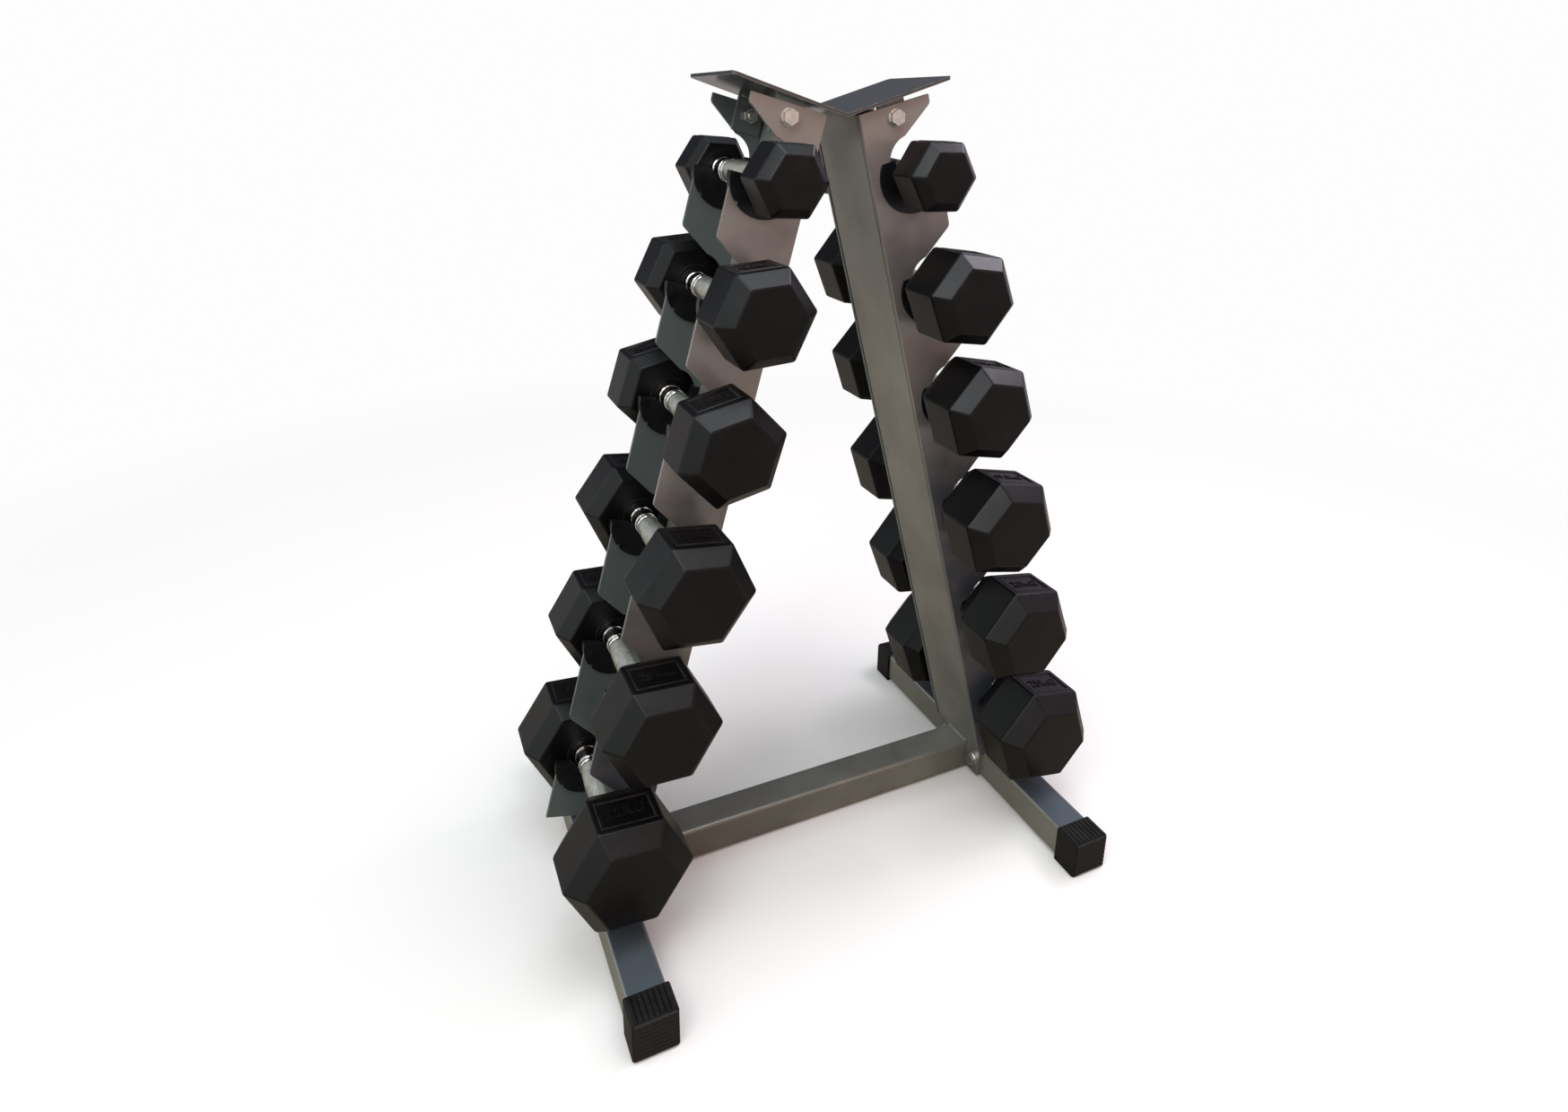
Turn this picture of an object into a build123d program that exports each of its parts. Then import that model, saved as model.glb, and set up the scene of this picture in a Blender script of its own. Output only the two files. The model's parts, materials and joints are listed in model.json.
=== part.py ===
"""Dumbbell rack: an A-frame of two leaning side frames with six tiers of hex dumbbells in two columns.

Millimetres, +Z up. X runs across the two columns, Y is the depth, the floor is Z = 0.
Every side-frame shape is drawn in the frame's own slanted axes: U goes outward, square to the post,
and V goes up along the post, both measured from the top end of the post's inner face.
"""
import os
from math import cos, sin, radians, tan

from build123d import *

os.makedirs("parts", exist_ok=True)

# Driving dimensions ---------------------------------------------------------------------------------
LEAN = 15.0                      # post lean from the vertical, degrees
FOOT_X = 322.5                   # foot centre line from the middle of the rack
TUBE = 50.0                      # square tube of the feet and the cross tube
TUBE_WALL = 3.0
TUBE_CORNER = 5.0
CAP_WALL = 4.0                   # plastic end cap around the tube
CAP_LENGTH = 41.0
CAP_END = 6.0                    # thickness of the cap's closed end
RACK_DEPTH = 548.0               # over the end caps
RIB_PITCH = 7.0                  # ribs moulded on the caps
RIB_WIDTH = 2.6
RIB_DEPTH = 1.0

TOP_X = 21.4                     # top end of the post's inner face
TOP_Z = 1043.5
POST_DEPTH = 116.0               # post tube along Y
POST_WIDTH = 25.0                # post tube along U
POST_WALL = 2.5
POST_CORNER = 5.0

PLATE_WIDTH = 98.0               # hook plate blank along U
PLATE_LENGTH = 1026.0            # along V
PLATE_T = 4.6
HANDLE_U = 56.0                  # handle axis from the post's inner face
TIER_V = (-86.0, -236.0, -391.0, -566.0, -746.0, -936.0)
POCKET_R = 21.5                  # plate pocket below the handle
EXIT_DEG = 35.0                  # way out of the pocket, from the U axis
TIP_V = -8.0                     # top of the hook's prong, from the handle axis
TIP_R = 6.0
HOOK_CORNER_R = 7.0
OVERHANG_V = 41.5                # the hook's sloping underside, above the next handle axis
OVERHANG_SLOPE = 0.68
CORNER_RUN = 18.0                # how far the cut runs past the plate's outer edge
FIRST_TIER_RISE = 5.0            # the top lobe sits this much higher above its handle
BEND_U = -19.5                   # middle of the bend at the mouth's closed end, from the handle axis
BEND_DROP = 10.5                 # and its depth under the overhang
BACK_U = -27.0                   # foot of that bend, from the handle axis
BACK_V = 14.0

HANDLE_R = 15.5                  # handle where it lies in the saddle
SADDLE_GAP = 0.3
LINER_R = 46.0                   # outline of the saddle liner's side flanges
LINER_DROP = 3.0                 # the outline's centre is this far below the handle axis
LINER_FLANGE = 3.0
LINER_TIP_V = -3.0
LINER_ARM_V = 22.0               # top of the liner's inner arm
LINER_ARM_T = 5.5                # arm thickness at its top
LINER_NECK_V = 10.0              # height and thickness of the arm's neck
LINER_NECK_T = 4.0
LINER_NOTCH_DEG = -48.0          # drain notch in the outline, from the U axis
LINER_NOTCH_R = 3.0

WING_T = 4.0                     # bent plate across the top
WING_X = 142.0
WING_Z = 1086.0                  # underside at the tips
WING_Z0 = 1041.5                 # underside at the bend
WING_DEPTH = 146.0
WING_BEND_R = 8.0

LUG_T = 4.0                      # lugs under the bent plate
LUG_U0 = 28.0
LUG_U1 = 66.0
LUG_V = -36.0
TOP_BOLT_U = 47.0
TOP_BOLT_V = -15.0

FLANGE_T = 6.0                   # cross tube flanges
FLANGE_DEPTH = 104.0
BOLT_R = 5.0                     # M10 fasteners
BOLT_CLEARANCE = 0.3
HEAD_AF = 17.0
HEAD_H = 6.4
NUT_AF = 17.0
NUT_H = 8.0
WASHER_R = 10.5
WASHER_T = 2.0
BOLT_END = 0.8                   # chamfer on the shank's end
BOLT_PROUD = 3.0                 # shank showing past the nut
BASE_BOLT_Y = 38.0

# Dumbbells: head inner face from the middle, then per size the head's corner radius and length
HEAD_Y = 79.0
HEAD_CORNER_R = (46.2, 62.9, 68.1, 73.9, 76.0, 82.6)
HEAD_LENGTH = (67.0, 92.0, 95.0, 99.0, 101.0, 106.0)
BEVEL_SHARE = 0.288              # bevel depth over corner radius
OUTER_FACE_SHARE = 0.71          # end face over corner radius
INNER_FACE_SHARE = 0.80
HEAD_EDGE = 1.6                  # broken edges of the heads
TURN_LEFT = (-4.0, 4.0, 12.5, -6.5, -2.5, -4.0)      # how each dumbbell happens to lie, degrees
TURN_RIGHT = (-1.5, -8.5, -11.5, -12.0, -9.0, -11.0)
SHANK_R = 12.0                   # handle end pressed into the head
SHANK_LENGTH = 40.0
GRIP = ((0.0, 16.6), (36.0, 14.8), (49.0, 14.2))     # contoured grip: distance from the middle, radius
# Turned profile from the grip's end to the head, as distance from the middle and radius: a groove, the
# land that lies in the saddle, a second groove and the collar against the head
TURNED = ((49.0, 13.4), (51.0, 13.4), (51.0, 14.8), (52.0, HANDLE_R), (67.4, HANDLE_R), (68.0, 14.9),
          (68.0, 13.6), (70.0, 13.6), (70.0, 15.6), (71.0, 16.4), (78.0, 16.4), (HEAD_Y, 15.4))

# Worked-out values ----------------------------------------------------------------------------------
CAP_SIZE = TUBE + 2 * CAP_WALL
TUBE_Z = CAP_SIZE / 2
FOOT_TOP = TUBE_Z + TUBE / 2
CROSS_END = FOOT_X - TUBE / 2 - FLANGE_T
PLATE_Y = POST_DEPTH / 2 + PLATE_T / 2
U_DIR = (cos(radians(LEAN)), sin(radians(LEAN)))
SIDES = {"left": -1, "right": 1}
FACES = {"front": -1, "back": 1}
POCKET_MID = radians((180 + 270 + EXIT_DEG) / 2)     # middle of the pocket's arc
NEAR = 0.5                       # how close an edge has to be to the corner it is picked for


def side_plane(side, y):
    """The slanted U-V plane of one side frame, at depth y."""
    return Plane(origin=(side * TOP_X, y, TOP_Z), x_dir=(side * U_DIR[0], 0, U_DIR[1]), z_dir=(0, -side, 0))


def world(side, u, v):
    """X and Z of a point given in a side frame's U and V."""
    x = TOP_X + u * U_DIR[0] - v * U_DIR[1]
    return side * x, TOP_Z + u * U_DIR[1] + v * U_DIR[0]


def exit_line(radius, v_end):
    """Where the way out leaves the pocket's arc, and where it reaches height v_end."""
    start = radians(EXIT_DEG - 90)
    u0 = radius * cos(start)
    v0 = radius * sin(start)
    reach = (v_end - v0) / tan(radians(EXIT_DEG))
    return (u0, v0), (u0 + reach, v_end)


def save(part, label):
    part.label = label
    export_step(part, f"parts/{label}.step")


# Feet and their end caps ----------------------------------------------------------------------------
def foot(side):
    length = RACK_DEPTH - 2 * CAP_END
    with BuildPart() as tube:
        with BuildSketch(Plane(origin=(side * FOOT_X, 0, TUBE_Z), x_dir=(1, 0, 0), z_dir=(0, -1, 0))):
            RectangleRounded(TUBE, TUBE, TUBE_CORNER)
            RectangleRounded(TUBE - 2 * TUBE_WALL, TUBE - 2 * TUBE_WALL, TUBE_CORNER - TUBE_WALL,
                             mode=Mode.SUBTRACT)
        extrude(amount=length / 2, both=True)
        # Through holes for the two flange bolts
        with BuildSketch(Plane(origin=(side * FOOT_X, 0, TUBE_Z), x_dir=(0, 1, 0), z_dir=(1, 0, 0))):
            with Locations((-BASE_BOLT_Y, 0), (BASE_BOLT_Y, 0)):
                Circle(BOLT_R + BOLT_CLEARANCE)
        extrude(amount=TUBE, both=True, mode=Mode.SUBTRACT)
    return tube.part


def end_cap(side, face):
    y_end = face * RACK_DEPTH / 2
    inner = Plane(origin=(side * FOOT_X, y_end, TUBE_Z), x_dir=(1, 0, 0), z_dir=(0, -face, 0))
    ribs = int((CAP_SIZE - 2 * TUBE_CORNER) / RIB_PITCH) + 1
    with BuildPart() as cap:
        with BuildSketch(inner):
            RectangleRounded(CAP_SIZE, CAP_SIZE, TUBE_CORNER)
        extrude(amount=CAP_LENGTH)
        chamfer(cap.faces().sort_by(Axis.Y)[-1 if face > 0 else 0].edges(), RIB_DEPTH)
        with BuildSketch(inner.offset(CAP_END)):
            RectangleRounded(TUBE, TUBE, TUBE_CORNER)
        extrude(amount=CAP_LENGTH, mode=Mode.SUBTRACT)
        # Grooves between the ribs: across the closed end, and lengthwise along the top
        with BuildSketch(inner):
            with GridLocations(0, RIB_PITCH, 1, ribs):
                Rectangle(CAP_SIZE, RIB_PITCH - RIB_WIDTH)
        extrude(amount=RIB_DEPTH, mode=Mode.SUBTRACT)
        with BuildSketch(Plane(origin=(side * FOOT_X, y_end - face * CAP_LENGTH / 2, CAP_SIZE))):
            with GridLocations(RIB_PITCH, 0, ribs - 1, 1):
                Rectangle(RIB_PITCH - RIB_WIDTH, CAP_LENGTH - 2 * CAP_END)
        extrude(amount=-RIB_DEPTH, mode=Mode.SUBTRACT)
    return cap.part


for side_name, side_sign in SIDES.items():
    save(foot(side_sign), f"foot_{side_name}")
    for face_name, face_sign in FACES.items():
        save(end_cap(side_sign, face_sign), f"end_cap_{side_name}_{face_name}")

# Cross tube with its flanges ------------------------------------------------------------------------
with BuildPart() as cross_tube:
    with BuildSketch(Plane(origin=(0, 0, TUBE_Z), x_dir=(0, 1, 0), z_dir=(1, 0, 0))):
        RectangleRounded(TUBE, TUBE, TUBE_CORNER)
        RectangleRounded(TUBE - 2 * TUBE_WALL, TUBE - 2 * TUBE_WALL, TUBE_CORNER - TUBE_WALL,
                         mode=Mode.SUBTRACT)
    extrude(amount=CROSS_END, both=True)
save(cross_tube.part, "cross_tube")


def flange(side):
    with BuildPart() as plate:
        with BuildSketch(Plane(origin=(side * CROSS_END, 0, TUBE_Z), x_dir=(0, 1, 0), z_dir=(side, 0, 0))):
            RectangleRounded(FLANGE_DEPTH, TUBE, TUBE_CORNER)
            with Locations((-BASE_BOLT_Y, 0), (BASE_BOLT_Y, 0)):
                Circle(BOLT_R + BOLT_CLEARANCE, mode=Mode.SUBTRACT)
        extrude(amount=FLANGE_T)
    return plate.part


for side_name, side_sign in SIDES.items():
    save(flange(side_sign), f"flange_{side_name}")


# Posts: flat tubes, cut level where they stand on the feet ------------------------------------------
def post(side):
    across = Plane(origin=(side * TOP_X, 0, TOP_Z), x_dir=(side * U_DIR[0], 0, U_DIR[1]),
                   z_dir=(side * U_DIR[1], 0, -U_DIR[0]))
    with BuildPart() as tube:
        with BuildSketch(across):
            with Locations((POST_WIDTH / 2, 0)):
                RectangleRounded(POST_WIDTH, POST_DEPTH, POST_CORNER)
                RectangleRounded(POST_WIDTH - 2 * POST_WALL, POST_DEPTH - 2 * POST_WALL,
                                 POST_CORNER - POST_WALL, mode=Mode.SUBTRACT)
        extrude(amount=PLATE_LENGTH + POST_WIDTH)
        with Locations((side * FOOT_X, 0, FOOT_TOP)):
            Box(8 * TUBE, 2 * POST_DEPTH, 4 * TUBE, align=(Align.CENTER, Align.CENTER, Align.MAX),
                mode=Mode.SUBTRACT)
    return tube.part


for side_name, side_sign in SIDES.items():
    save(post(side_sign), f"post_{side_name}")


# Hook plates ----------------------------------------------------------------------------------------
def shifted(points, tier):
    """Points given from a handle axis, moved to where that axis is on the plate."""
    return [(HANDLE_U + u, tier + v) for u, v in points]


def mouth(tier, rise):
    """Outline of the open mouth around one handle: the overhang, the bend, the pocket, the way out."""
    wide = PLATE_WIDTH - HANDLE_U + CORNER_RUN
    leave, tip = exit_line(POCKET_R, TIP_V)
    low = (POCKET_R * cos(POCKET_MID), POCKET_R * sin(POCKET_MID))
    points = [(wide, OVERHANG_V + OVERHANG_SLOPE * wide + rise), (0, OVERHANG_V + rise),
              (BEND_U, OVERHANG_V - BEND_DROP + rise), (BACK_U, BACK_V), (-POCKET_R, 0), low, leave, tip,
              (wide, TIP_V)]
    return shifted(points, tier)


def hook_plate(side, face):
    tips = []
    corners = []
    with BuildPart() as plate:
        with BuildSketch(side_plane(side, face * PLATE_Y)):
            with Locations((PLATE_WIDTH / 2, -PLATE_LENGTH / 2)):
                Rectangle(PLATE_WIDTH, PLATE_LENGTH)
            for index, tier in enumerate(TIER_V):
                rise = FIRST_TIER_RISE if index == 0 else 0.0
                high, middle, bend, inner, pocket, low, leave, tip, out = mouth(tier, rise)
                with BuildLine():
                    Line(high, middle)
                    ThreePointArc(middle, bend, inner)
                    Line(inner, pocket)
                    ThreePointArc(pocket, low, leave)
                    Polyline(leave, tip, out, high)
                make_face(mode=Mode.SUBTRACT)
                tips += [tip, (PLATE_WIDTH, tier + TIP_V)]
                reach = PLATE_WIDTH - HANDLE_U
                corners.append((PLATE_WIDTH, tier + rise + OVERHANG_V + OVERHANG_SLOPE * reach))
            with Locations((TOP_BOLT_U, TOP_BOLT_V)):
                Circle(BOLT_R + BOLT_CLEARANCE, mode=Mode.SUBTRACT)
        extrude(amount=PLATE_T / 2, both=True)
        edges = plate.edges().filter_by(Axis.Y)
        for spots, radius in ((tips, TIP_R), (corners, HOOK_CORNER_R)):
            picked = []
            for u, v in spots:
                x, z = world(side, u, v)
                picked += [e for e in edges if abs(e.center().X - x) < NEAR and abs(e.center().Z - z) < NEAR]
            fillet(picked, radius)
            edges = plate.edges().filter_by(Axis.Y)
    return plate.part


def liner(side, face, tier, plate):
    """One saddle: a U that hugs the pocket's edge, flanged over both faces of the plate."""
    radius = HANDLE_R + SADDLE_GAP
    leave, tip = exit_line(radius, LINER_TIP_V)
    far = 2 * LINER_R
    notch = radians(LINER_NOTCH_DEG)
    with BuildPart() as saddle:
        with BuildSketch(side_plane(side, face * PLATE_Y)):
            with Locations((HANDLE_U, tier - LINER_DROP)):
                Circle(LINER_R)
            with Locations((HANDLE_U + LINER_R * cos(notch), tier - LINER_DROP + LINER_R * sin(notch))):
                Circle(LINER_NOTCH_R, mode=Mode.SUBTRACT)
            left = (-radius, 0)
            low = (radius * cos(POCKET_MID), radius * sin(POCKET_MID))
            arm = (-radius - LINER_ARM_T, LINER_ARM_V)
            neck = (-radius - LINER_NECK_T, LINER_NECK_V)
            around = [leave, tip, (far, LINER_TIP_V), (far, far), (-far, far), (-far, LINER_ARM_V), arm, neck,
                      left]
            with BuildLine():
                ThreePointArc(*shifted([left, low, leave], tier))
                Polyline(shifted(around, tier))
            make_face(mode=Mode.SUBTRACT)
        extrude(amount=PLATE_T / 2 + LINER_FLANGE, both=True)
        add(plate, mode=Mode.SUBTRACT)
        # The inner flange stops at the post
        with BuildSketch(side_plane(side, 0)):
            with Locations((POST_WIDTH / 2, tier)):
                Rectangle(POST_WIDTH + 2 * SADDLE_GAP, 4 * LINER_R)
        extrude(amount=POST_DEPTH / 2, both=True, mode=Mode.SUBTRACT)
    return saddle.part


for side_name, side_sign in SIDES.items():
    for face_name, face_sign in FACES.items():
        hooks = hook_plate(side_sign, face_sign)
        saddles = [liner(side_sign, face_sign, tier, hooks) for tier in TIER_V]
        save(hooks, f"hook_plate_{side_name}_{face_name}")
        save(Compound(children=saddles), f"saddle_liners_{side_name}_{face_name}")

# Bent plate across the top --------------------------------------------------------------------------
with BuildPart() as top_plate:
    with BuildSketch(Plane.XZ):
        with BuildLine():
            Polyline((-WING_X, WING_Z), (0, WING_Z0), (WING_X, WING_Z), (WING_X, WING_Z + WING_T),
                     (0, WING_Z0 + WING_T), (-WING_X, WING_Z + WING_T), close=True)
        make_face()
    extrude(amount=WING_DEPTH / 2, both=True)
    bend = [e for e in top_plate.edges().filter_by(Axis.Y) if abs(e.center().X) < NEAR]
    fillet(bend, WING_BEND_R)
    wing_corners = [e for e in top_plate.edges().filter_by(Axis.Z) if abs(e.center().X) > WING_X - NEAR]
    fillet(wing_corners, TIP_R)
save(top_plate.part, "top_plate")


def wing_underside(u):
    """V of the bent plate's underside above a point of the side frame."""
    slope = (WING_Z - WING_Z0) / WING_X
    base = TOP_X + u * U_DIR[0]
    height = WING_Z0 + slope * base - TOP_Z - u * U_DIR[1]
    return height / (U_DIR[0] + slope * U_DIR[1])


def lug(side, face):
    y = face * (POST_DEPTH / 2 - LUG_T / 2)
    with BuildPart() as tab:
        with BuildSketch(side_plane(side, y)):
            with BuildLine():
                Polyline((LUG_U0, LUG_V), (LUG_U1, LUG_V), (LUG_U1, wing_underside(LUG_U1)),
                         (LUG_U0, wing_underside(LUG_U0)), close=True)
            make_face()
            with Locations((TOP_BOLT_U, TOP_BOLT_V)):
                Circle(BOLT_R + BOLT_CLEARANCE, mode=Mode.SUBTRACT)
        extrude(amount=LUG_T / 2, both=True)
    return tab.part


# Fasteners ------------------------------------------------------------------------------------------
def bolt(plane, length):
    """A hex bolt: the plane lies under its head, its normal points along the shank."""
    with BuildPart() as screw:
        with BuildSketch(plane):
            Circle(BOLT_R)
        extrude(amount=length)
        with BuildSketch(plane):
            RegularPolygon(HEAD_AF / 2, 6, major_radius=False)
        extrude(amount=-HEAD_H)
        ends = screw.edges().filter_by(GeomType.CIRCLE)
        chamfer(ends.sort_by(lambda edge: (edge.center() - plane.origin).dot(plane.z_dir))[-1], BOLT_END)
    return screw.part


def ring(plane, outer, height, hexagonal=False):
    """A washer, or a nut when hexagonal, standing on the plane."""
    with BuildPart() as piece:
        with BuildSketch(plane):
            if hexagonal:
                RegularPolygon(outer, 6, major_radius=False)
            else:
                Circle(outer)
            Circle(BOLT_R + BOLT_CLEARANCE, mode=Mode.SUBTRACT)
        extrude(amount=height)
    return piece.part


lugs = []
top_bolts = []
top_washers = []
top_nuts = []
base_bolts = []
base_washers = []
base_nuts = []
for side_sign in SIDES.values():
    for face_sign in FACES.values():
        lugs.append(lug(side_sign, face_sign))
        bolt_x, bolt_z = world(side_sign, TOP_BOLT_U, TOP_BOLT_V)
        outer_y = face_sign * (POST_DEPTH / 2 + PLATE_T)
        inner_y = face_sign * (POST_DEPTH / 2 - LUG_T)
        inward = (0, -face_sign, 0)
        washer_plane = Plane(origin=(bolt_x, outer_y + face_sign * WASHER_T, bolt_z), z_dir=inward)
        nut_plane = Plane(origin=(bolt_x, inner_y, bolt_z), z_dir=inward)
        top_washers.append(ring(washer_plane, WASHER_R, WASHER_T))
        top_bolts.append(bolt(washer_plane, WASHER_T + PLATE_T + LUG_T + NUT_H + BOLT_PROUD))
        top_nuts.append(ring(nut_plane, NUT_AF / 2, NUT_H, hexagonal=True))
    for y in (-BASE_BOLT_Y, BASE_BOLT_Y):
        outward = (side_sign, 0, 0)
        head_plane = Plane(origin=(side_sign * (CROSS_END - WASHER_T), y, TUBE_Z), z_dir=outward)
        tail_plane = Plane(origin=(side_sign * (FOOT_X + TUBE / 2), y, TUBE_Z), z_dir=outward)
        nut_plane = tail_plane.offset(WASHER_T)
        base_washers.append(ring(head_plane, WASHER_R, WASHER_T))
        base_washers.append(ring(tail_plane, WASHER_R, WASHER_T))
        base_bolts.append(bolt(head_plane, FLANGE_T + TUBE + 2 * WASHER_T + NUT_H + BOLT_PROUD))
        base_nuts.append(ring(nut_plane, NUT_AF / 2, NUT_H, hexagonal=True))

save(Compound(children=lugs), "top_lugs")
save(Compound(children=top_bolts), "top_bolts")
save(Compound(children=top_washers), "top_washers")
save(Compound(children=top_nuts), "top_nuts")
save(Compound(children=base_bolts), "base_bolts")
save(Compound(children=base_washers), "base_washers")
save(Compound(children=base_nuts), "base_nuts")


# Dumbbells ------------------------------------------------------------------------------------------
def heads(side, tier, corner_r, length, turn):
    """Both hex heads of one dumbbell, bevelled at both ends and bored for the handle."""
    x, z = world(side, HANDLE_U, tier)
    depth = BEVEL_SHARE * corner_r
    steps = ((0, INNER_FACE_SHARE * corner_r), (depth, corner_r), (length - depth, corner_r),
             (length, OUTER_FACE_SHARE * corner_r))
    pair = []
    for face in FACES.values():
        with BuildPart() as head:
            for along, radius in steps:
                here = (x, face * (HEAD_Y + along), z)
                with BuildSketch(Plane(origin=here, x_dir=(1, 0, 0), z_dir=(0, -1, 0))):
                    RegularPolygon(radius, 6, rotation=turn)
            loft(ruled=True)
            chamfer(head.edges(), HEAD_EDGE)
            with BuildSketch(Plane(origin=(x, face * HEAD_Y, z), z_dir=(0, face, 0))):
                Circle(SHANK_R)
            extrude(amount=SHANK_LENGTH, mode=Mode.SUBTRACT)
        pair.append(head.part)
    return Compound(children=pair)


def handle(side, tier):
    """A turned handle: shanks, collars, saddle lands, grooves and a contoured grip."""
    x, z = world(side, HANDLE_U, tier)
    end = HEAD_Y + SHANK_LENGTH
    profile = GRIP[-1:] + TURNED + ((HEAD_Y, SHANK_R), (end, SHANK_R), (end, 0))
    with BuildPart() as bar:
        with BuildSketch(Plane(origin=(x, 0, z), x_dir=(0, 1, 0), z_dir=(0, 0, 1))):
            with BuildLine():
                Spline([(-y, radius) for y, radius in reversed(GRIP[1:])] + list(GRIP))
                for flip in FACES.values():
                    Polyline([(flip * y, radius) for y, radius in profile])
                Line((-end, 0), (end, 0))
            make_face()
        revolve(axis=Axis((x, 0, z), (0, 1, 0)))
    return bar.part


for side_name, side_sign in SIDES.items():
    turns = TURN_LEFT if side_sign < 0 else TURN_RIGHT
    for index, tier in enumerate(TIER_V):
        name = f"dumbbell_{side_name}_{index + 1}"
        save(heads(side_sign, tier, HEAD_CORNER_R[index], HEAD_LENGTH[index], turns[index]), f"{name}_heads")
        save(handle(side_sign, tier), f"{name}_handle")
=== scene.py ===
"""Looks for the dumbbell rack: materials, moulded heads, handles, end caps and welds on its frame."""
import bpy
import bmesh
import json
import math
import numpy as np
from mathutils import Matrix, Vector


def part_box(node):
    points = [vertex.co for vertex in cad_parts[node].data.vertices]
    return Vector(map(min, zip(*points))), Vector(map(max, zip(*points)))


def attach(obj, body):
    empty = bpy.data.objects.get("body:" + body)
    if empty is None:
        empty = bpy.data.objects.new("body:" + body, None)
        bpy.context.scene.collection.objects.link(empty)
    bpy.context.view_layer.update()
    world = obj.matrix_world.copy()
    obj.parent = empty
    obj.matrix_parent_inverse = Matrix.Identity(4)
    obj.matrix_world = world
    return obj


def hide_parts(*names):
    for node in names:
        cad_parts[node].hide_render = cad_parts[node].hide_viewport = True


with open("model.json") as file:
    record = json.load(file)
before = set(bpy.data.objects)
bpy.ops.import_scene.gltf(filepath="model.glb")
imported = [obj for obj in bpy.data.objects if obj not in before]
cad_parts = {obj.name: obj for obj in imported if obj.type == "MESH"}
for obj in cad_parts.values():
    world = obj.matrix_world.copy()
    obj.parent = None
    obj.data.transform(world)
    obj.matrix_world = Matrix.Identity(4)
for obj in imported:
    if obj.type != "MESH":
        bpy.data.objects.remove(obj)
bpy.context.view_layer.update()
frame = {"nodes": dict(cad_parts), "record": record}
nodes = frame["nodes"]

MM = 0.001

# Camera, at the photograph's viewing angle ----------------------------------------------------------
SENSOR_WIDTH = 36.0              # millimetres
FOCAL_SHARE = 0.5722             # focal length over image width
CAMERA_AT = (-0.5254, -1.0240, 1.0500)
CAMERA_YAW = 24.306              # to the right of +Y, degrees
CAMERA_PITCH = 16.759            # below the horizon
CAMERA_ROLL = 0.4645
SHIFT = (0.0088, -0.1130)
FAR_CLIP = 50.0                  # metres

camera_data = bpy.data.cameras.new("camera")
camera_data.sensor_width = SENSOR_WIDTH
camera_data.lens = SENSOR_WIDTH * FOCAL_SHARE
camera_data.shift_x, camera_data.shift_y = SHIFT
camera_data.dof.use_dof = False
camera_data.clip_end = FAR_CLIP
camera = bpy.data.objects.new("camera", camera_data)
bpy.context.scene.collection.objects.link(camera)
yaw, pitch, roll = (math.radians(a) for a in (CAMERA_YAW, CAMERA_PITCH, CAMERA_ROLL))
forward = Vector((math.sin(yaw) * math.cos(pitch),
                  math.cos(yaw) * math.cos(pitch),
                  -math.sin(pitch)))
right = Vector((math.cos(yaw), -math.sin(yaw), 0.0))
up = right.cross(forward)
turned_right = math.cos(roll) * right + math.sin(roll) * up
turned_up = -math.sin(roll) * right + math.cos(roll) * up
camera.matrix_world = Matrix((turned_right, turned_up, -forward)).transposed().to_4x4()
camera.location = CAMERA_AT
bpy.context.scene.camera = camera


# Node material helpers ------------------------------------------------------------------------------
EDGE_SAMPLES = 4
EDGE_LEAN = (0.86, 0.985)        # cosine of a rounded normal's lean: full edge, and none


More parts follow.
